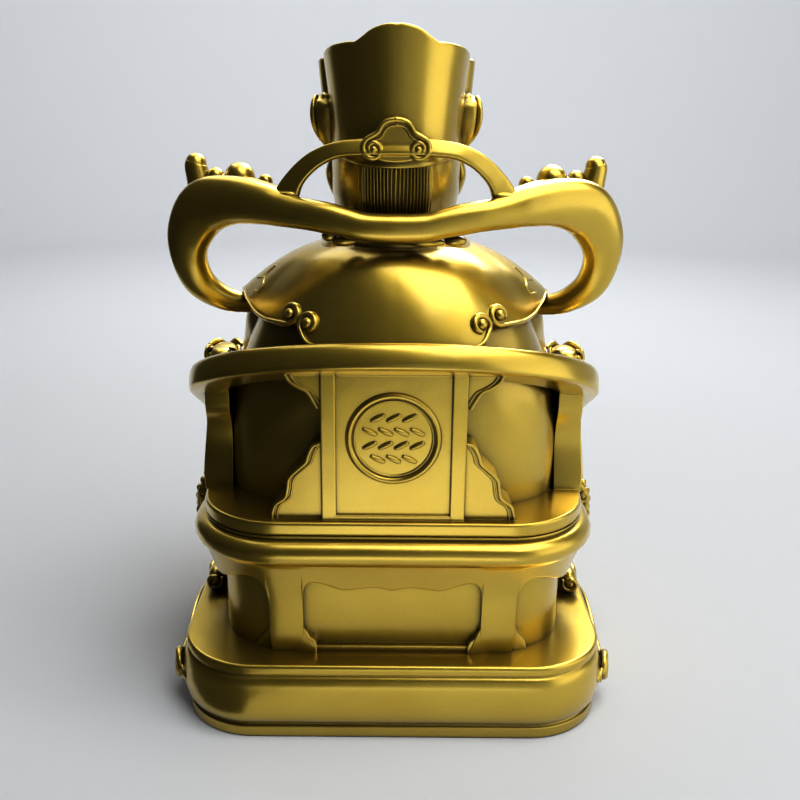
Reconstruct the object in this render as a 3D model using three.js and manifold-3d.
// A gold-painted cast figure of a seated fortune god on a horseshoe-backed throne, seen in the
// round: plinth and throne stand, seated figure with its chair, the flying scarf behind the
// neck, and the hat wings with their clasp. Millimetres, +Z up, the figure faces -Y, and the
// origin is at the middle of the plinth's underside.
import * as THREE from 'three';
import Module from 'manifold-3d';
import { mergeVertices } from 'three/addons/utils/BufferGeometryUtils.js';

const wasm = await Module();
wasm.setup();

// The figure from the seat to the top of its hat. Its pose and carving are laid out in parts,
// 200 of them to this height.
const FIGURE_HEIGHT = 200;
const FIGURE_PARTS = 200;

// Clearance between pieces that are cast apart and glued together.
const FIT_GAP = 0.3;

// The seat and the stand under it.
const SEAT_WIDTH = 171;
const SEAT_DEPTH = 74;
const SEAT_CORNER = 36;
const SEAT_TIER = 6.3;
const LOWER_TIER = 3;
const STAND_HEIGHT = 58;
const STAND_BEAD = 10;
const STAND_WALL_HEIGHT = 33;
const STAND_WALL_INSET = 8;
const LEG_WIDTH = 16.5;
const LEG_SETBACK = 4.5;
const LEG_SPREAD = 5;
const CARTOUCHE_WIDTH = 78;
const CARTOUCHE_HEAD = 26;
const CARTOUCHE_SILL = 3.5;
const CARTOUCHE_DEPTH = 3.5;
const CARTOUCHE_CORNER = 6;

// The chair on the seat.
const RAIL_RISE = 77;
const RAIL_SLOPE = 0.518;
const RAIL_WIDTH = 20;
const RAIL_THICKNESS = 12;
const RAIL_OVERHANG = 4;
const RAIL_SIDE_OVERHANG = 8.5;
const RAIL_SWEEP = 51;
const RAIL_EDGE = 2;
const ARM_REACH = 14;
const ARM_THICKNESS = 12;
const ARM_INSET = 0.8;
const ARM_POST_DEPTH = 35;
const ARM_POST_HOLLOW = 6;
const SPLAT_PANEL_WIDTH = 48;
const SPLAT_STILE = 6.3;
const SPLAT_SILL = 2.2;
const SPLAT_RELIEF = 1.5;
const SPLAT_SETBACK = 3;
const BRACKET_REACH = 22;
const BRACKET_RISE = 34;
const BRACKET_THICKNESS = 14;
const ROUNDEL_DIAMETER = 40;
const ROUNDEL_RING = 2.8;
const STROKE_HEIGHT = 1.8;
const STROKE_RELIEF = 1.3;

// The plinth: a ledge shows round the throne and in front of the boots.
const PLINTH_HEIGHT = 36;
const PLINTH_CORNER = 34;
const PLINTH_BELLY = 2.3;
const PLINTH_FOOT = 5.5;
const PLINTH_GROOVE = 1.2;
const PLINTH_LIP = 5;
const SCROLL_RELIEF = 3.2;
const SIDE_LEDGE = 10;
const BACK_LEDGE = 8;
const FRONT_LEDGE = 8;

// Worked out from the sizes above.
const UNIT = FIGURE_HEIGHT / FIGURE_PARTS;
const FOOT_REACH = 58 * UNIT;
const PLINTH_WIDTH = SEAT_WIDTH + 2 * SIDE_LEDGE;
const PLINTH_DEPTH = BACK_LEDGE + SEAT_DEPTH + FOOT_REACH + FRONT_LEDGE;
const SEAM_Z = PLINTH_HEIGHT + STAND_HEIGHT;
const SEAT_Z = SEAM_Z + SEAT_TIER;
const SEAT_BACK = PLINTH_DEPTH / 2 - BACK_LEDGE;
const SEAT_FRONT = SEAT_BACK - SEAT_DEPTH;
const LEG_FACE = SEAT_BACK - LEG_SETBACK;
const RAIL_TOP = SEAT_Z + RAIL_RISE;
const RAIL_BACK = SEAT_BACK + RAIL_OVERHANG;
const RAIL_SIDE = SEAT_WIDTH / 2 + RAIL_SIDE_OVERHANG;
const RAIL_BEND = SEAT_BACK - RAIL_SWEEP;
const RAIL_TILT = Math.atan(RAIL_SLOPE);
const ARM_FRONT = SEAT_FRONT - ARM_REACH;
const SPLAT_FACE = SEAT_BACK - SPLAT_SETBACK;
const SPLAT_HALF = SPLAT_PANEL_WIDTH / 2 + SPLAT_STILE;

// The figure's upright axis, its toes' reach from it, and the plane of its back.
const AXIS_Y = SEAT_FRONT + 8 * UNIT;
const TOE_Y = AXIS_Y - 66 * UNIT;
const BACK_Y = AXIS_Y + 50 * UNIT;

const GOLD = { colour: 0xb8962e, roughness: 0.38, metalness: 0.85 };
const BACKWARD = new THREE.Vector3(0, 1, 0);
const UPWARD = new THREE.Vector3(0, 0, 1);
const SIDES = [1, -1];

// Ways of making and joining closed solids.

function solid(geometry) {
  const bare = geometry.clone();
  bare.deleteAttribute('normal');
  bare.deleteAttribute('uv');
  const merged = mergeVertices(bare);
  const mesh = new wasm.Mesh({
    numProp: 3,
    vertProperties: Float32Array.from(merged.attributes.position.array),
    triVerts: Uint32Array.from(merged.index.array),
  });
  return new wasm.Manifold(mesh);
}

function joined(pieces) {
  return pieces.reduce((whole, piece) => whole.add(piece));
}

// Volume inside a closed skin, below zero where its faces point in.
function skinVolume(points, faces) {
  let volume = 0;
  for (let i = 0; i < faces.length; i += 3) {
    const [a, b, c] = [points[faces[i]], points[faces[i + 1]], points[faces[i + 2]]];
    volume += a.dot(b.clone().cross(c)) / 6;
  }
  return volume;
}

// Closed skin over rings of equally many points, with a fan over each end.
function loft(rings) {
  const count = rings[0].length;
  const points = rings.flat();
  const faces = [];
  for (let r = 0; r + 1 < rings.length; r++) {
    for (let i = 0; i < count; i++) {
      const j = (i + 1) % count;
      const [a, b] = [r * count + i, r * count + j];
      faces.push(a, b, b + count, a, b + count, a + count);
    }
  }
  for (const [ring, start] of [[rings[0], 0], [rings.at(-1), (rings.length - 1) * count]]) {
    const hub = points.length;
    points.push(ring.reduce((sum, p) => sum.add(p), new THREE.Vector3()).divideScalar(count));
    for (let i = 0; i < count; i++) {
      const j = (i + 1) % count;
      const edge = start === 0 ? [start + j, start + i] : [start + i, start + j];
      faces.push(hub, ...edge);
    }
  }
  if (skinVolume(points, faces) < 0) {
    faces.reverse();
  }
  const geometry = new THREE.BufferGeometry().setFromPoints(points);
  geometry.setIndex(faces);
  return solid(geometry);
}

// Outline in x and z, drawn from the back face forward to the front face.
function boardAcross(shape, backY, frontY, curveSegments = 6) {
  const settings = { depth: backY - frontY, bevelEnabled: false, curveSegments };
  const geometry = new THREE.ExtrudeGeometry(shape, settings);
  geometry.rotateX(Math.PI / 2);
  geometry.translate(0, backY, 0);
  return solid(geometry);
}

// Outline in y and z, as a board at one side of the object from x = inner out to x = outer.
function boardAside(shape, side, inner, outer) {
  const settings = { depth: outer - inner, bevelEnabled: false, curveSegments: 6 };
  const geometry = new THREE.ExtrudeGeometry(shape, settings);
  const turn = new THREE.Matrix4();
  turn.makeBasis(
    new THREE.Vector3(0, 1, 0),
    new THREE.Vector3(0, 0, 1),
    new THREE.Vector3(1, 0, 0),
  );
  geometry.applyMatrix4(turn);
  geometry.translate(side > 0 ? inner : -outer, 0, 0);
  return solid(geometry);
}

function shapeOf(points) {
  return new THREE.Shape(points.map(([u, v]) => new THREE.Vector2(u, v)));
}

// Rounded lump, cut into facets across and down.
function blob(centre, radii, across = 6, down = 4) {
  const geometry = new THREE.SphereGeometry(1, across, down);
  geometry.rotateX(Math.PI / 2);
  geometry.scale(radii.x, radii.y, radii.z);
  geometry.translate(centre.x, centre.y, centre.z);
  return solid(geometry);
}

function ellipseSection(sides) {
  const points = [];
  for (let i = 0; i < sides; i++) {
    const angle = (2 * Math.PI * i) / sides;
    points.push([Math.cos(angle), Math.sin(angle)]);
  }
  return points;
}

// Rod of changing width along a smooth curve: each stop is [point, half width, half depth].
// The depth is measured towards the direction 'facing', the width across it.
function strand(stops, facing, { steps, sides, section = ellipseSection }) {
  const curve = new THREE.CatmullRomCurve3(stops.map(([point]) => point));
  const rings = [];
  for (let s = 0; s <= steps; s++) {
    const t = s / steps;
    const place = t * (stops.length - 1);
    const index = Math.min(Math.floor(place), stops.length - 2);
    const share = THREE.MathUtils.smoothstep(place - index, 0, 1);
    const width = THREE.MathUtils.lerp(stops[index][1], stops[index + 1][1], share);
    const depth = THREE.MathUtils.lerp(stops[index][2], stops[index + 1][2], share);
    const along = curve.getTangent(t);
    const across = along.clone().cross(facing).normalize();
    const out = across.clone().cross(along).normalize();
    const centre = curve.getPoint(t);
    rings.push(section(sides).map(([u, v]) => centre.clone()
      .addScaledVector(across, u * width)
      .addScaledVector(out, v * depth)));
  }
  return loft(rings);
}

// Closed ring like an egg seen from above: half width a, reach back b and reach forward f,
// squarer as the power grows. 'wave' moves each point in or out by its own angle.
function eggRing(count, centre, a, b, f, power, wave = () => 0) {
  const ring = [];
  for (let i = 0; i < count; i++) {
    const angle = (2 * Math.PI * i) / count;
    const [c, s] = [Math.cos(angle), Math.sin(angle)];
    const reach = s > 0 ? b : f;
    const grow = wave(angle);
    const x = Math.sign(c) * Math.abs(c) ** (2 / power) * (a + grow);
    const y = Math.sign(s) * Math.abs(s) ** (2 / power) * (reach + grow);
    ring.push(new THREE.Vector3(centre.x + x, centre.y + y, centre.z));
  }
  return ring;
}

// Upright rectangle of rings with round corners, its back at y = back and its front at
// y = front. Each corner of an end is an arc of that end's radius in that end's steps.
function plateRing(z, halfWidth, { back, front, backArc, frontArc }) {
  const ring = [];
  const corners = [
    [1, back, -1, backArc, 0],
    [-1, back, -1, backArc, 90],
    [-1, front, 1, frontArc, 180],
    [1, front, 1, frontArc, 270],
  ];
  for (const [side, edge, inward, { radius, steps }, start] of corners) {
    for (let i = 0; i <= steps; i++) {
      const angle = THREE.MathUtils.degToRad(start + (90 * i) / steps);
      const x = side * (halfWidth - radius) + radius * Math.cos(angle);
      const y = edge + inward * radius + radius * Math.sin(angle);
      ring.push(new THREE.Vector3(x, y, z));
    }
  }
  return ring;
}

// A point of the figure, in parts: x to its left, y back from its axis, z up from the seat.
function at(x, y, z) {
  return new THREE.Vector3(x * UNIT, AXIS_Y + y * UNIT, SEAT_Z + z * UNIT);
}

function size(x, y = x, z = x) {
  return new THREE.Vector3(x * UNIT, y * UNIT, z * UNIT);
}

// Plinth: foot band, groove, round belly, cove and lip bead.
function plinth() {
  const band = (z, out) => {
    const arc = { radius: PLINTH_CORNER + out, steps: 4 };
    const half = PLINTH_DEPTH / 2 + out;
    const ends = { back: half, front: -half, backArc: arc, frontArc: arc };
    return plateRing(z, PLINTH_WIDTH / 2 + out, ends);
  };
  const cove = -0.3;
  const lipZ = PLINTH_HEIGHT - PLINTH_LIP;
  const bellyStart = PLINTH_FOOT + PLINTH_GROOVE;
  const bellyEnd = lipZ - 0.5 * PLINTH_GROOVE;
  const bellySteps = 5;
  const rings = [
    band(0, 0.4 * cove),
    band(PLINTH_FOOT, cove),
    band(PLINTH_FOOT + 0.3 * PLINTH_GROOVE, cove - PLINTH_GROOVE),
  ];
  for (let i = 0; i <= bellySteps; i++) {
    const t = i / bellySteps;
    const swell = (PLINTH_BELLY + PLINTH_GROOVE) * Math.sin(Math.PI * t) ** 0.75;
    rings.push(band(THREE.MathUtils.lerp(bellyStart, bellyEnd, t), swell - PLINTH_GROOVE));
  }
  rings.push(band(lipZ + 0.3 * PLINTH_GROOVE, cove));
  rings.push(band(PLINTH_HEIGHT - 0.2 * PLINTH_LIP, 0));
  rings.push(band(PLINTH_HEIGHT, -0.2 * PLINTH_LIP));
  return loft(rings);
}

// Cloud scroll carved on each end of the plinth: a lobed plaque with a curl at either end.
function plinthScroll(side) {
  const middle = (PLINTH_FOOT + PLINTH_HEIGHT - PLINTH_LIP) / 2;
  const halfLength = PLINTH_DEPTH * 0.27;
  const halfHeight = PLINTH_HEIGHT * 0.31;
  const points = 16;
  const outline = [];
  for (let i = 0; i < points; i++) {
    const angle = (2 * Math.PI * i) / points;
    const lobe = 0.74 + 0.26 * Math.cos(4 * angle);
    outline.push([halfLength * Math.cos(angle), middle + halfHeight * Math.sin(angle) * lobe]);
  }
  const root = PLINTH_WIDTH / 2 - SCROLL_RELIEF;
  const face = PLINTH_WIDTH / 2 + PLINTH_BELLY + SCROLL_RELIEF;
  const plaque = boardAside(shapeOf(outline), side, root, face);
  const radius = halfHeight * 0.62;
  const curls = [-0.7, 0.7].map((share) => blob(
    new THREE.Vector3(side * face, halfLength * share, middle),
    new THREE.Vector3(1.2 * SCROLL_RELIEF, radius, radius),
  ));
  return joined([plaque, ...curls]);
}

// Ring round the throne at height z, standing out past the seat by its own amount at the
// sides and at the back. Its front corners are sharp.
function seatRing(z, outSide, outBack) {
  return plateRing(z, SEAT_WIDTH / 2 + outSide, {
    back: SEAT_BACK + outBack,
    front: SEAT_FRONT,
    backArc: { radius: SEAT_CORNER + (outSide + outBack) / 2, steps: 5 },
    frontArc: { radius: 1, steps: 1 },
  });
}

// Throne stand: inset wall, flaring apron, round moulding and the lower tier of the seat.
function standCore() {
  const wall = -STAND_WALL_INSET;
  const apronZ = PLINTH_HEIGHT + STAND_WALL_HEIGHT;
  const tierZ = SEAM_Z - LOWER_TIER;
  const beadZ = tierZ - STAND_BEAD;
  const step = 0.5;
  const rings = [
    seatRing(PLINTH_HEIGHT - 1, wall, wall),
    seatRing(apronZ, wall, wall),
    seatRing(apronZ + step, -2.6, -3.8),
    seatRing(THREE.MathUtils.lerp(apronZ, beadZ, 0.5), -0.6, -1.9),
    seatRing(beadZ, 2.2, 0.4),
  ];
  const beadSteps = 4;
  for (let i = 1; i <= beadSteps; i++) {
    const t = i / beadSteps;
    const round = Math.sin(Math.PI * (0.18 + 0.82 * t));
    const [side, back] = [0.2 + 4.9 * round ** 0.7, 0.2 + 4.6 * round ** 0.8];
    rings.push(seatRing(THREE.MathUtils.lerp(beadZ, tierZ, t), side, back));
  }
  rings.push(seatRing(tierZ + step, -step, -step));
  rings.push(seatRing(SEAM_Z, 0, 0));
  return loft(rings);
}

// Two back legs with spreading feet, cut from one board that runs up into the apron.
function legBoard() {
  const foot = PLINTH_HEIGHT - 1;
  const outer = CARTOUCHE_WIDTH / 2 + LEG_WIDTH;
  const head = outer + 1.6 * LEG_SPREAD;
  const z = (share) => PLINTH_HEIGHT + STAND_HEIGHT * share;
  const profile = new THREE.Shape();
  profile.moveTo(-outer - LEG_SPREAD, foot);
  profile.lineTo(outer + LEG_SPREAD, foot);
  profile.quadraticCurveTo(outer, z(0.06), outer, z(0.2));
  profile.lineTo(outer, z(0.45));
  profile.quadraticCurveTo(outer, z(0.62), head, z(0.63));
  profile.lineTo(head, z(0.72));
  profile.lineTo(-head, z(0.72));
  profile.lineTo(-head, z(0.63));
  profile.quadraticCurveTo(-outer, z(0.62), -outer, z(0.45));
  profile.lineTo(-outer, z(0.2));
  profile.quadraticCurveTo(-outer, z(0.06), -outer - LEG_SPREAD, foot);
  return boardAcross(profile, LEG_FACE, LEG_FACE - 2 * LEG_WIDTH);
}

// The cartouche's head from its shoulder to its middle, as [share of the half width, rise].
const CARTOUCHE_WAVE = [
  [0.99, -1.5], [0.95, 1.2], [0.87, 2.5], [0.77, 1.9], [0.6, -1.2], [0.5, -1.8], [0.36, -0.9],
  [0.22, 0], [0.09, -0.8], [0, -1.9],
];

// Sunk cartouche between the back legs: stepped feet, round shoulders and a waved head.
function cartouche() {
  const half = CARTOUCHE_WIDTH / 2;
  const inner = half - CARTOUCHE_CORNER;
  const sill = PLINTH_HEIGHT + CARTOUCHE_SILL;
  const top = SEAM_Z - CARTOUCHE_HEAD;
  const cut = new THREE.Shape();
  cut.moveTo(-inner, sill);
  cut.lineTo(inner, sill);
  cut.lineTo(inner, sill + 0.6 * CARTOUCHE_CORNER);
  cut.lineTo(half, sill + 1.2 * CARTOUCHE_CORNER);
  cut.lineTo(half, top - CARTOUCHE_CORNER);
  CARTOUCHE_WAVE.forEach(([share, rise]) => cut.lineTo(half * share, top + rise));
  CARTOUCHE_WAVE.slice(0, -1).reverse().forEach(([share, rise]) => {
    cut.lineTo(-half * share, top + rise);
  });
  cut.lineTo(-half, top - CARTOUCHE_CORNER);
  cut.lineTo(-half, sill + 1.2 * CARTOUCHE_CORNER);
  cut.lineTo(-inner, sill + 0.6 * CARTOUCHE_CORNER);
  return boardAcross(cut, SEAT_BACK + 2 * LEG_SETBACK, LEG_FACE - CARTOUCHE_DEPTH, 3);
}

// Carved front leg: a knee that curls out, a waist, and a scroll foot.
function frontLeg(side) {
  const y = SEAT_FRONT + 7;
  const point = (out, share) => new THREE.Vector3(
    side * (SEAT_WIDTH / 2 + out),
    y,
    PLINTH_HEIGHT + STAND_HEIGHT * share,
  );
  const leg = strand([
    [point(0, 0.97), 6, 7],
    [point(3, 0.82), 7, 8],
    [point(-3, 0.52), 6, 7],
    [point(-4, 0.25), 4.5, 6],
    [point(1, 0.02), 4.5, 6.5],
  ], BACKWARD, { steps: 4, sides: 6 });
  const curls = [
    [7.4, 0.87, 5],
    [8.2, 0.73, 4.8],
    [4.6, 0.11, 5],
  ].map(([out, share, radius]) => {
    return blob(point(out, share), new THREE.Vector3(radius, radius + 2, radius));
  });
  return joined([leg, ...curls]);
}

// The base is cut back round the robe that hangs before it, and ends below the seam.
function base() {
  const stand = joined([standCore(), legBoard()]).subtract(cartouche());
  const carving = [...SIDES.map(frontLeg), ...SIDES.map(plinthScroll)];
  const clearance = 0.8 * FIT_GAP;
  return joined([plinth(), stand, ...carving]).subtract(lowerRobe(clearance));
}

// Upper tier of the seat, a shallow step above the seam.
function seatTier() {
  const start = SEAM_Z + FIT_GAP;
  const round = 0.2 * SEAT_TIER;
  return loft([
    seatRing(start, -2 * FIT_GAP, -2 * FIT_GAP),
    seatRing(start + 2 * FIT_GAP, 0, 0),
    seatRing(SEAT_Z - round, 0, 0),
    seatRing(SEAT_Z, -round, -round),
  ]);
}

// Height of the rail's middle line above a place y, so that its back edge reaches RAIL_TOP.
function railZ(y) {
  const rise = (RAIL_WIDTH / 2 - RAIL_EDGE) * Math.sin(RAIL_TILT);
  const lift = rise + 0.35 * RAIL_THICKNESS * Math.cos(RAIL_TILT);
  return RAIL_TOP - lift - (RAIL_BACK - RAIL_WIDTH / 2 - y) * RAIL_SLOPE;
}

// Horseshoe rail: straight arms in front, then half an oval round the back, all in one plane
// that falls towards the front.
function chairRail() {
  const midX = RAIL_SIDE - RAIL_WIDTH / 2;
  const midBack = RAIL_BACK - RAIL_WIDTH / 2;
  const steps = 14;
  const path = [[midX, ARM_FRONT]];
  for (let i = 0; i <= steps; i++) {
    const angle = (Math.PI * i) / steps;
    const x = midX * Math.sign(Math.cos(angle)) * Math.abs(Math.cos(angle)) ** 0.92;
    path.push([x, RAIL_BEND + (midBack - RAIL_BEND) * Math.sin(angle) ** 0.92]);
  }
  path.push([-midX, ARM_FRONT]);
  const points = path.map(([x, y]) => new THREE.Vector3(x, y, railZ(y)));
  const normal = new THREE.Vector3(0, -RAIL_SLOPE, 1).normalize();
  const [w, h] = [RAIL_WIDTH / 2, RAIL_THICKNESS / 2];
  const section = [
    [-w, -h], [1 - w, h], [0.4 * w, h], [w - RAIL_EDGE, 0.7 * h], [w, 0], [0.9 * w, -0.7 * h],
    [0.65 * w, -h],
  ];
  const rings = points.map((point, i) => {
    const before = points[Math.max(i - 1, 0)];
    const after = points[Math.min(i + 1, points.length - 1)];
    const along = after.clone().sub(before).normalize();
    const out = along.clone().cross(normal).normalize();
    return section.map(([u, v]) => point.clone()
      .addScaledVector(out, u)
      .addScaledVector(normal, v));
  });
  return loft(rings);
}

// Arm board under each side of the rail, hollowed behind like a drawn-in post.
function armBoard(side) {
  const rear = SEAT_FRONT + ARM_POST_DEPTH;
  const front = SEAT_FRONT + 1;
  const foot = SEAT_Z - SEAT_TIER / 3;
  const shoulder = railZ(rear) - RAIL_THICKNESS / 2 - 7;
  const waist = (SEAT_Z + shoulder) / 2 + 4;
  const shape = new THREE.Shape();
  shape.moveTo(front, foot);
  shape.lineTo(rear, foot);
  shape.lineTo(rear, SEAT_Z + 2);
  shape.quadraticCurveTo(rear - ARM_POST_HOLLOW, waist, rear - 1.5, shoulder);
  shape.lineTo(rear, shoulder + 0.5);
  shape.lineTo(rear, railZ(rear));
  shape.lineTo(front, railZ(front));
  const outer = SEAT_WIDTH / 2 - ARM_INSET;
  return boardAside(shape, side, outer - ARM_THICKNESS, outer);
}

// Guardian beast's head that ends each arm: skull and muzzle, brow, and two tufts of mane.
function beastHead(side) {
  const radius = RAIL_WIDTH / 2;
  const x = side * (RAIL_SIDE - radius);
  const point = (back, up) => new THREE.Vector3(x, ARM_FRONT + back, railZ(ARM_FRONT) + up);
  const head = strand([
    [point(8, 1), radius * 0.8, 8],
    [point(4, 14), radius * 0.85, 10],
    [point(0, 22), radius * 0.95, 10],
    [point(-9, 21), radius * 0.8, 7],
    [point(-17, 16), radius * 0.5, 4],
  ], new THREE.Vector3(0, 0.7, 0.7), { steps: 5, sides: 6 });
  const brow = blob(point(-6, 27), new THREE.Vector3(radius * 0.8, 4, 3.6), 6, 3);
  const mane = SIDES.map((tuft) => {
    const centre = point(5, 25).setX(x + tuft * radius * 0.62);
    return blob(centre, new THREE.Vector3(4.4, 6, 6));
  });
  return joined([head, brow, ...mane]);
}

// Back splat: a sunk panel between two stiles, with a plain sill. The block behind it runs
// forward into the robe and up inside the rail.
function splat() {
  const block = (half, low, high, back, front) => {
    const outline = [[-half, low], [half, low], [half, high], [-half, high]];
    return boardAcross(shapeOf(outline), back, front);
  };
  const headZ = RAIL_TOP - 0.65 * RAIL_THICKNESS;
  const panelTop = RAIL_TOP - 1.2 * RAIL_THICKNESS;
  const panelFace = SPLAT_FACE - SPLAT_RELIEF;
  const whole = block(SPLAT_HALF, SEAT_Z - 1, headZ, SPLAT_FACE, BACK_Y - 10 * UNIT);
  const sunk = block(SPLAT_PANEL_WIDTH / 2, SEAT_Z + SPLAT_SILL, panelTop, SEAT_BACK, panelFace);
  return whole.subtract(sunk);
}

// Stepped edge of a bracket, from its foot to its head, as [share out, share up]: three
// cloud lobes.
const BRACKET_EDGE = [
  [1, 0], [0.95, 0.16], [0.69, 0.35], [0.63, 0.55], [0.45, 0.67], [0.28, 0.78], [0.17, 0.95],
  [0, 1],
];

// Scalloped bracket beside the splat, on the seat or hung under the rail with a rise below
// zero.
function bracket(side, foot, reach, rise) {
  const root = side * (SPLAT_HALF - 1);
  const edge = BRACKET_EDGE.map(([u, v]) => {
    return new THREE.Vector2(side * (SPLAT_HALF + u * reach), foot + v * rise);
  });
  const shape = new THREE.Shape();
  shape.moveTo(root, foot);
  shape.lineTo(edge[0].x, edge[0].y);
  shape.splineThru(edge.slice(1));
  shape.lineTo(root, foot + rise);
  const face = SPLAT_FACE - SPLAT_RELIEF - 0.5;
  return boardAcross(shape, face, face - BRACKET_THICKNESS, 2);
}

// Roundel on the panel: a raised ring round rows of shallow strokes that spell nothing.
function roundel() {
  const face = SPLAT_FACE - SPLAT_RELIEF;
  const middle = SEAT_Z + (RAIL_RISE - RAIL_THICKNESS) * 0.56;
  const ringRadius = (ROUNDEL_DIAMETER - ROUNDEL_RING) / 2;
  const ring = new THREE.TorusGeometry(ringRadius, ROUNDEL_RING / 2, 4, 18);
  ring.rotateX(Math.PI / 2);
  ring.translate(0, face, middle);
  const strokes = [];
  const rowPitch = ROUNDEL_DIAMETER * 0.19;
  const dashPitch = ROUNDEL_DIAMETER * 0.22;
  for (const row of [1, 0, -1]) {
    const count = row === 0 ? 3 : 2;
    for (let i = 0; i < count; i++) {
      const length = ROUNDEL_DIAMETER * (i % 2 === 0 ? 0.17 : 0.11);
      const dash = new THREE.BoxGeometry(length, 2 * STROKE_RELIEF, STROKE_HEIGHT);
      dash.rotateY(row === 0 ? -0.3 : 0.3);
      dash.translate((i - (count - 1) / 2) * dashPitch, face, middle + row * rowPitch);
      strokes.push(solid(dash));
    }
  }
  return joined([solid(ring), ...strokes]);
}

// Body in its robe, from the seat to the neck, as [height, half width, back, front]. The two
// full rings over the hips carry shallow folds.
const TORSO = [
  [-3, 76, 50, 40],
  [30, 73.5, 50, 41],
  [63, 69.5, 50.5, 38],
  [80, 66, 51, 36],
  [92, 56, 46, 31],
  [104, 40, 37, 24],
  [122, 22, 28, 14],
];

function torso(grow = 0) {
  const rings = TORSO.map(([z, a, b, f], i) => {
    const power = i > 4 ? 2 : 2.6;
    const fold = i === 1 || i === 2 ? 0.7 * UNIT : 0;
    const wave = (angle) => grow + fold * Math.cos(9 * angle);
    return eggRing(18, at(0, 0, z), a * UNIT, b * UNIT, f * UNIT, power, wave);
  });
  return loft(rings);
}

// Half of the cape's edge, from the middle of the back round to the middle of the chest.
const CAPE_EDGE = [
  [0, 62, 75], [18, 61, 74.6], [33, 58, 75.5], [38, 54, 81.5], [46, 44.5, 82], [55, 34, 81.5],
  [63, 20, 83], [67, 10, 86.5], [69.5, 2, 90], [64, -13, 85], [50, -29, 80], [34, -36.5, 74],
  [0, -41, 68],
];
const CAPE_FLATNESS = 1.9;

// Shoulder cape: it leaves the neck nearly level and rolls down to its edge.
function cape(grow = 0) {
  const left = CAPE_EDGE.map(([x, y, z]) => at(x, y, z));
  const right = CAPE_EDGE.slice(1, -1).reverse().map(([x, y, z]) => at(-x, y, z));
  const edge = [...left, ...right];
  const neck = edge.map((point) => {
    const angle = Math.atan2(point.y - at(0, 8, 0).y, point.x);
    return at(25 * Math.cos(angle), 8 + 29 * Math.sin(angle), 113);
  });
  const rings = [1, 0.8, 0.5, 0.15].map((t) => edge.map((point, i) => {
    const place = neck[i].clone().lerp(point, t);
    place.z = grow + point.z + (neck[i].z - point.z) * (1 - t ** CAPE_FLATNESS);
    const out = new THREE.Vector3(point.x, point.y - AXIS_Y, 0).setLength(grow * t);
    return place.add(out);
  }));
  const below = (share, drop) => edge.map((point, i) => {
    return neck[i].clone().lerp(point, share).setZ(point.z - drop * UNIT - grow);
  });
  return loft([below(0.35, 3), below(0.97, 2.6), ...rings]);
}

// Cloud curl: a coiled bead lying on the cape.
function capeCurl(centre, radius, side, turn) {
  const out = new THREE.Vector3(side * 0.45, 0.75, 0.48).normalize();
  const flat = new THREE.Vector3(side, -0.6, 0).normalize();
  const rise = out.clone().cross(flat).normalize();
  const count = 8;
  const stops = [];
  for (let i = 0; i < count; i++) {
    const t = i / (count - 1);
    const angle = turn + side * 2 * Math.PI * 1.1 * t;
    const reach = radius * (1 - 0.8 * t);
    const point = centre.clone()
      .addScaledVector(flat, reach * Math.cos(angle))
      .addScaledVector(rise, reach * Math.sin(angle));
    stops.push([point, 1.15 * UNIT, 1.6 * UNIT]);
  }
  return strand(stops, out, { steps: 6, sides: 3 });
}

function capeCurls(side) {
  return joined([
    capeCurl(at(side * 41, 47, 87), 4.6 * UNIT, side, 0.6),
    capeCurl(at(side * 33.6, 54, 83), 4.6 * UNIT, side, 0.2),
  ]);
}

// Collar, neck and the head up to the hat, as [height, half width, back, front].
const HEAD = [
  [118, 22, 24, 14],
  [124, 25, 30, 28],
  [132, 27.7, 33, 32],
  [148, 27.8, 33.5, 31],
  [168, 27, 33, 30],
];

function head(grow = 0) {
  return loft(HEAD.map(([z, a, b, f]) => {
    return eggRing(16, at(0, 6, z), a * UNIT, b * UNIT, f * UNIT, 2.15, () => grow);
  }));
}

// A calm, plain face: nose, closed mouth, lowered lids, brows and long ears.
function face() {
  const nose = strand([
    [at(0, -25.5, 156), 1.6 * UNIT, 1.5 * UNIT],
    [at(0, -28, 148), 2.4 * UNIT, 2.4 * UNIT],
    [at(0, -30, 142), 4.2 * UNIT, 3 * UNIT],
    [at(0, -26.5, 139.5), 3.2 * UNIT, 1.4 * UNIT],
  ], BACKWARD, { steps: 3, sides: 6 });
  const mouth = blob(at(0, -25.6, 131.5), size(5.6, 3, 2.6));
  const lids = SIDES.map((side) => blob(at(side * 10.5, -23.8, 150.5), size(5.2, 3, 2.6)));
  const brows = SIDES.map((side) => strand([
    [at(side * 3.8, -26.2, 155.5), 1.2 * UNIT, 1.2 * UNIT],
    [at(side * 11, -24.6, 158.5), 1.6 * UNIT, 1.4 * UNIT],
    [at(side * 19, -18.5, 155.5), 0.9 * UNIT, 0.9 * UNIT],
  ], BACKWARD, { steps: 3, sides: 4 }));
  return joined([nose, mouth, ...lids, ...brows, ...SIDES.map(ear)]);
}

function ear(side) {
  return strand([
    [at(side * 30, 8, 171.5), 2.4 * UNIT, 3 * UNIT],
    [at(side * 33.2, 10, 166), 3.4 * UNIT, 5.6 * UNIT],
    [at(side * 31.5, 8.5, 158), 2.8 * UNIT, 4.2 * UNIT],
    [at(side * 30, 7, 152), 2.4 * UNIT, 2.8 * UNIT],
  ], BACKWARD, { steps: 4, sides: 6 });
}

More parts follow.
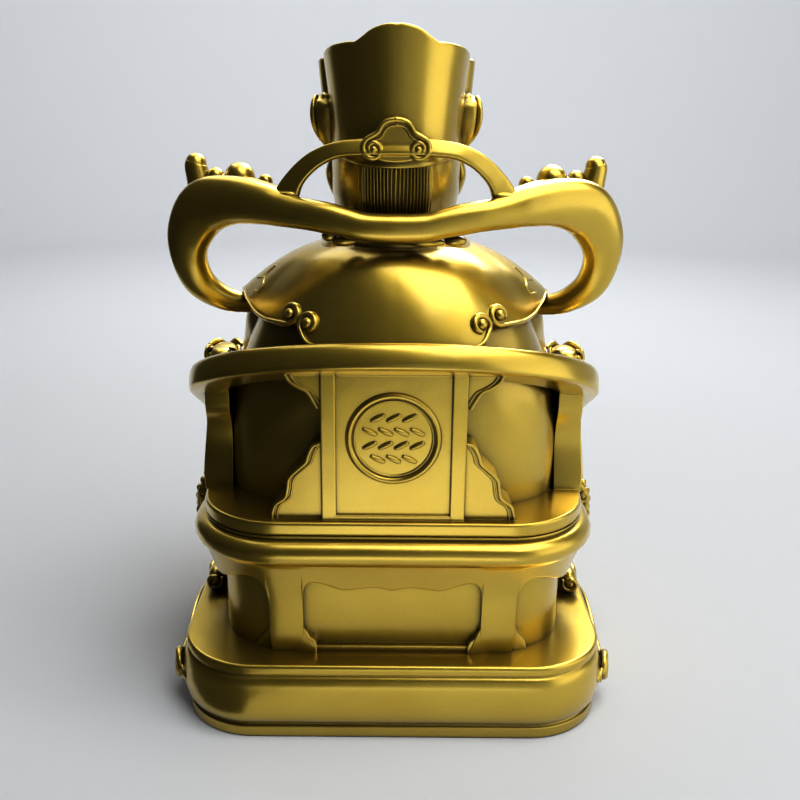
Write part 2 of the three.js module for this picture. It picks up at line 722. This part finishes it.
// Long beard in locks that falls over the chest, under a drooping moustache.
function beard() {
  const locks = 5;
  const section = (sides) => ellipseSection(sides).map(([u, v]) => {
    const ridge = v < 0.3 ? 0.16 * Math.cos(Math.PI * locks * u) : 0;
    return [u, v * (1 + ridge) - 0.2 * ridge];
  });
  const fall = strand([
    [at(0, -14, 126), 15 * UNIT, 12 * UNIT],
    [at(0, -25, 119), 18 * UNIT, 9 * UNIT],
    [at(0, -32, 104), 18 * UNIT, 7.5 * UNIT],
    [at(0, -38, 88), 13 * UNIT, 6 * UNIT],
    [at(0, -42, 72), 3.5 * UNIT, 2.5 * UNIT],
  ], BACKWARD, { steps: 4, sides: 16, section });
  const moustache = SIDES.map((side) => strand([
    [at(side * 1, -28.5, 137), 1.5 * UNIT, 1.5 * UNIT],
    [at(side * 9, -28.5, 134), 2.3 * UNIT, 2.2 * UNIT],
    [at(side * 15.5, -30, 122), 1.8 * UNIT, 2 * UNIT],
    [at(side * 18, -33, 108), 0.8 * UNIT, 0.9 * UNIT],
  ], BACKWARD, { steps: 3, sides: 4 }));
  return joined([fall, ...moustache]);
}

// Brow band of the hat, lower behind than in front.
function hatBand(points, grow) {
  const rise = 0.28;
  const ring = (height, a, b, f) => {
    const level = eggRing(points, at(0, 6, 0), a * UNIT, b * UNIT, f * UNIT, 2.2, () => grow);
    return level.map((point) => {
      const back = (point.y - AXIS_Y) / UNIT;
      return point.setZ(SEAT_Z + (height - rise * (back - 40)) * UNIT);
    });
  };
  return loft([
    ring(144 - grow, 28, 34.3, 34),
    ring(152, 27.6, 34.2, 34),
    ring(153 + grow, 26, 33, 31),
  ]);
}

// Flaring crown of the hat, open above, with a crest of three lobes at the back.
function hatCrown(points, grow) {
  const ring = (z, a, b, f) => {
    return eggRing(points, at(0, 6, z), a * UNIT, b * UNIT, f * UNIT, 2.4, () => grow);
  };
  const crest = (level, drop) => level.map((point, i) => {
    const angle = (2 * Math.PI * i) / points;
    const back = Math.max(Math.sin(angle), 0);
    const lobes = 3.6 * Math.cos(2.6 * Math.PI * Math.cos(angle) ** 2);
    return point.setZ(SEAT_Z + (187 - drop + back * (9 + lobes)) * UNIT);
  });
  return loft([
    ring(148, 25, 33, 26),
    ring(158, 25.8, 33, 28),
    ring(172, 27.6, 32, 29.5),
    crest(ring(0, 30, 31, 30), 0),
    crest(ring(0, 27.8, 28.6, 27.6), 0.4),
    ring(180, 26.5, 27, 26),
  ]);
}

function hat(grow = 0) {
  const points = 20;
  const front = loft([
    eggRing(14, at(0, -2, 158), 27 * UNIT, 10 * UNIT, 28 * UNIT, 2.3),
    eggRing(14, at(0, -2, 184.5), 33.2 * UNIT, 9 * UNIT, 31 * UNIT, 2.3),
    eggRing(14, at(0, -2, 187.5), 32 * UNIT, 7 * UNIT, 29 * UNIT, 2.3),
  ]);
  return joined([hatBand(points, grow), hatCrown(points, grow), front]);
}

// Cloud ornament of three lobes with a pearl, on the hat's front.
function hatFront() {
  const lobes = [[0, 168, 8], [-8.5, 162.5, 5.6], [8.5, 162.5, 5.6]];
  const cloud = lobes.map(([x, z, r]) => blob(at(x, -28.5, z), size(r, 4.6, r * 0.9)));
  return joined([...cloud, blob(at(0, -33, 166), size(3.6))]);
}

// Sleeve cut across: full and folded below, narrow above.
function sleeveSection(sides) {
  return ellipseSection(sides).map(([u, v]) => {
    const [wide, deep] = v < 0 ? [1.05, 1.1] : [0.8, 0.8];
    const fold = 1 + 0.12 * Math.cos(Math.atan2(v, u) * 6);
    return [u * fold * wide, v * deep];
  });
}

// Sleeve: from the shoulder down to the elbow and forward to the wrist, hanging wide there.
function sleeve(side, grow = 0) {
  const stop = (x, y, z, w, d) => [at(side * x, y, z), w * UNIT + grow, d * UNIT + grow];
  const upper = strand([
    stop(46, -2, 94, 15, 15),
    stop(54, -4, 78, 16, 17),
    stop(58, -10, 56, 15, 17),
    stop(56, -16, 40, 13, 15),
  ], BACKWARD, { steps: 4, sides: 7 });
  const forearm = strand([
    stop(60, -4, 44, 13, 14),
    stop(54, -28, 40, 13, 19),
    stop(40, -48, 38, 12, 23),
    stop(25, -60, 40, 9, 23),
  ], UPWARD, { steps: 4, sides: 8, section: sleeveSection });
  return joined([upper, forearm]);
}

// Two hands that meet under the ingot, with furrows between the fingers.
function hands() {
  const fingers = (sides) => ellipseSection(sides).map(([u, v]) => {
    return [u, v * (1 + 0.16 * Math.cos(7 * u))];
  });
  return joined(SIDES.map((side) => strand([
    [at(side * 25, -59, 46), 6 * UNIT, 7 * UNIT],
    [at(side * 17, -66, 46), 5 * UNIT, 7.5 * UNIT],
    [at(side * 7, -70, 44), 2.6 * UNIT, 7 * UNIT],
  ], UPWARD, { steps: 2, sides: 9, section: fingers })));
}

// The robe's gathered front, which fills the space between the forearms under the hands.
function robeFront() {
  return blob(at(0, -40, 33), size(31, 24, 31), 10, 6);
}

// Boat-shaped gold ingot held before the belt, with a round hump in its middle.
function ingot() {
  const steps = 6;
  const sides = 7;
  const rings = [];
  for (let i = 0; i <= steps; i++) {
    const t = (2 * i) / steps - 1;
    const lift = 9 * t * t;
    const half = 3 + 8.5 * Math.sqrt(Math.max(1 - t * t, 0));
    rings.push(ellipseSection(sides).map(([u, v]) => {
      return at(24 * t, -62 + 0.9 * half * u, 44 + lift + (5 + half * 0.35) * v);
    }));
  }
  return joined([loft(rings), blob(at(0, -62, 51), size(9, 7.5, 8.5), 8, 4)]);
}

// Belt round the robe's waist.
function belt() {
  const ring = (z, out) => {
    return eggRing(16, at(0, 0, z), (72 + out) * UNIT, 40 * UNIT, (40 + out) * UNIT, 2.6);
  };
  return loft([ring(44, 0), ring(46, 1.8), ring(53, 1.8)]);
}

// Thighs under the robe, sunk a little into the seat and ending in round knees.
function lap() {
  const rest = 0.7 * (SEAT_TIER - FIT_GAP);
  const stop = (side, x, y, half, depth, fall) => {
    const centre = at(side * x, y, depth - fall);
    centre.z -= rest;
    return [centre, half * UNIT, depth * UNIT];
  };
  return joined(SIDES.map((side) => strand([
    stop(side, 34, 8, 26, 19, 0),
    stop(side, 37, -20, 25, 18, 0),
    stop(side, 37, -42, 23, 17.5, 4),
    stop(side, 36, -56, 17, 14, 10),
  ], UPWARD, { steps: 4, sides: 8 })));
}

// Skirt of the robe from the lap to the hem, in upright folds. It hangs in front of the seat
// and stands on the plinth.
function skirt(floor, grow) {
  const drop = SEAT_Z - floor;
  const back = SEAT_FRONT - FIT_GAP + grow;
  const middle = back - 26 * UNIT;
  const ring = (share, a, f, fold) => {
    const centre = new THREE.Vector3(0, middle, floor + drop * share);
    const wave = (angle) => grow + (Math.sin(angle) < 0 ? fold * UNIT * Math.cos(10 * angle) : 0);
    return eggRing(24, centre, a * UNIT, back - middle - grow, f * UNIT, 3, wave);
  };
  return loft([
    ring(0, 49, 22, 0),
    ring(0.19, 58, 28, 1.6),
    ring(0.7, 58, 28, 1.5),
    ring(1.12, 56, 26, 0.2),
  ]);
}

function boot(side, floor, grow) {
  const toe = TOE_Y - grow;
  const ring = (y, half, height) => ellipseSection(8).map(([u, v]) => new THREE.Vector3(
    side * 24 * UNIT + (half * UNIT + grow) * u,
    y,
    floor + (height * UNIT + 2 * grow) * (0.5 + 0.5 * v),
  ));
  return loft([
    ring(toe, 5, 8),
    ring(toe + 3 * UNIT, 9, 12),
    ring(toe + 30 * UNIT, 10, 14),
  ]);
}

// The robe's skirt and the boots under it, which share the plinth's top.
function lowerRobe(grow = 0) {
  const floor = PLINTH_HEIGHT + FIT_GAP - grow;
  return joined([skirt(floor, grow), ...SIDES.map((side) => boot(side, floor, grow))]);
}

// Panel of brocade that hangs between the knees, wider and pointed at its foot.
function frontPanel() {
  const top = SEAT_Z + 18 * UNIT;
  const foot = PLINTH_HEIGHT + (SEAT_Z - PLINTH_HEIGHT) * 0.2;
  const half = 11 * UNIT;
  const hem = half + 3 * UNIT;
  const shape = new THREE.Shape();
  shape.moveTo(-half, top);
  shape.lineTo(half, top);
  shape.lineTo(hem, foot + 6 * UNIT);
  shape.quadraticCurveTo(half, foot, 0, foot - 4 * UNIT);
  shape.quadraticCurveTo(-half, foot, -hem, foot + 6 * UNIT);
  return boardAcross(shape, TOE_Y + 14 * UNIT, TOE_Y);
}

// Solid mass of the figure that the scarf and the hat wings are fitted to.
function figureMass(grow) {
  const sleeves = SIDES.map((side) => sleeve(side, grow));
  return joined([torso(grow), cape(grow), head(grow), hat(grow), ...sleeves]);
}

function chair() {
  const underRail = RAIL_TOP - RAIL_THICKNESS;
  const brackets = SIDES.flatMap((side) => [
    bracket(side, SEAT_Z - 0.5, BRACKET_REACH, BRACKET_RISE),
    bracket(side, underRail, 0.7 * BRACKET_REACH, -0.45 * BRACKET_RISE),
  ]);
  const arms = SIDES.flatMap((side) => [armBoard(side), beastHead(side)]);
  return joined([seatTier(), chairRail(), splat(), roundel(), ...arms, ...brackets]);
}

function seatedFigure() {
  return joined([
    chair(),
    figureMass(0),
    face(),
    beard(),
    hatFront(),
    robeFront(),
    hands(),
    ingot(),
    belt(),
    lap(),
    lowerRobe(),
    frontPanel(),
    ...SIDES.map(capeCurls),
  ]);
}

// The scarf's run on one side: [x, y, z, half width, half depth] from the nape outward.
const SCARF_RUN = [
  [0, 46, 121, 6, 5], [15, 45.5, 121, 5.8, 5], [30, 43, 121.6, 5.4, 5],
  [43, 39, 124.6, 6.6, 5.5], [55, 35, 128.6, 8.2, 6.5], [68, 30, 130.2, 9.8, 7],
  [80.5, 25, 127, 11.4, 7.2], [88.3, 20, 116, 10, 7], [90.3, 16, 104.5, 8.2, 6.6],
  [86.5, 12, 93, 7.4, 6], [77, 8, 85, 5.8, 5.2], [66, 4, 82, 4.8, 4.6], [54, 2, 81, 4.4, 4.2],
];

// The ribbon cut across: two soft ridges with a shallow valley between them on its back.
function scarfSection(sides) {
  return ellipseSection(sides).map(([u, v]) => {
    const valley = v > 0 ? 0.28 * Math.exp(-((u / 0.35) ** 2)) : 0;
    return [u, v * (1 - valley)];
  });
}

function scarfLoop(grow = 0) {
  const stop = (side) => ([x, y, z, w, d]) => {
    return [at(side * x, y, z), w * UNIT + grow, d * UNIT + grow];
  };
  const stops = [...SCARF_RUN.slice(1).reverse().map(stop(-1)), ...SCARF_RUN.map(stop(1))];
  return strand(stops, BACKWARD, { steps: 28, sides: 9, section: scarfSection });
}

function scarf() {
  return scarfLoop().subtract(figureMass(FIT_GAP));
}

// One half of the hat wings' strap: [x, y, z, half width, half depth] from the clasp outward.
const WING_RUN = [
  [0, 43, 153, 3.8, 1.6], [14, 42.5, 152, 3.8, 1.6], [27, 41, 150, 3.9, 1.6],
  [36, 38.5, 145, 3.8, 1.8], [44, 35, 138, 3.6, 2], [51, 27, 137.5, 3.4, 2.4],
  [60, 16, 135, 4.6, 2.6], [72, 9, 133.5, 5.6, 2.6], [86, 5, 135, 4.6, 2.8],
];

// Strap of the hat wings: arched across the back of the hat, its ends passing over the scarf.
function wingStrap() {
  const stop = (side) => ([x, y, z, w, d]) => [at(side * x, y, z), w * UNIT, d * UNIT];
  const stops = [...WING_RUN.slice(1).reverse().map(stop(-1)), ...WING_RUN.map(stop(1))];
  return strand(stops, new THREE.Vector3(0, 0.9, 0.43), { steps: 16, sides: 5 });
}

// Cloud-head clasp at the back of the hat: a pointed lobe over two curls.
function clasp() {
  const point = (x, z) => [x * UNIT, SEAT_Z + z * UNIT];
  const shape = new THREE.Shape();
  shape.moveTo(...point(-13.8, 150));
  shape.quadraticCurveTo(...point(-14.5, 157), ...point(-7.5, 158));
  shape.quadraticCurveTo(...point(-5.5, 162.5), ...point(0, 164));
  shape.quadraticCurveTo(...point(5.5, 162.5), ...point(7.5, 158));
  shape.quadraticCurveTo(...point(14.5, 157), ...point(13.8, 150));
  shape.quadraticCurveTo(...point(11, 145), ...point(5.5, 147.5));
  shape.quadraticCurveTo(...point(0, 151), ...point(-5.5, 147.5));
  shape.quadraticCurveTo(...point(-11, 145), ...point(-13.8, 150));
  const back = AXIS_Y + 44.6 * UNIT;
  const plate = boardAcross(shape, back, back - 7 * UNIT, 2);
  const knobs = SIDES.map((side) => {
    return blob(at(side * 9, 44.6, 150.6), size(3.2, 2.2, 3.2), 6, 3);
  });
  return joined([plate, ...knobs]);
}

// Ornament at the end of each wing: an upright knob and three pearls beside it, each as
// [x, y, z, and its three radii].
function wingEnd(side) {
  const lumps = [
    [87, 4, 141.5, 5, 5, 7],
    [78.5, 5, 136.5, 4.6, 5, 5.2],
    [68.5, 5, 136, 8, 6, 7.6],
    [57, 12, 136, 4.4, 5, 4],
  ];
  return joined(lumps.map(([x, y, z, rx, ry, rz]) => {
    return blob(at(side * x, y, z), size(rx, ry, rz));
  }));
}

function hatWings() {
  const whole = joined([wingStrap(), clasp(), ...SIDES.map(wingEnd)]);
  return whole.subtract(figureMass(FIT_GAP)).subtract(scarfLoop(FIT_GAP));
}

function named(name, body) {
  const { vertProperties, triVerts } = body.getMesh();
  const position = new THREE.BufferAttribute(Float32Array.from(vertProperties), 3);
  const geometry = new THREE.BufferGeometry();
  geometry.setAttribute('position', position);
  geometry.setIndex(new THREE.BufferAttribute(Uint32Array.from(triVerts), 1));
  geometry.computeVertexNormals();
  const material = new THREE.MeshStandardMaterial({
    color: GOLD.colour,
    roughness: GOLD.roughness,
    metalness: GOLD.metalness,
  });
  const mesh = new THREE.Mesh(geometry, material);
  mesh.name = name;
  return mesh;
}

const caishen = new THREE.Group();
caishen.add(named('base', base()));
caishen.add(named('seated_figure', seatedFigure()));
caishen.add(named('scarf', scarf()));
caishen.add(named('hat_wings', hatWings()));

export default caishen;
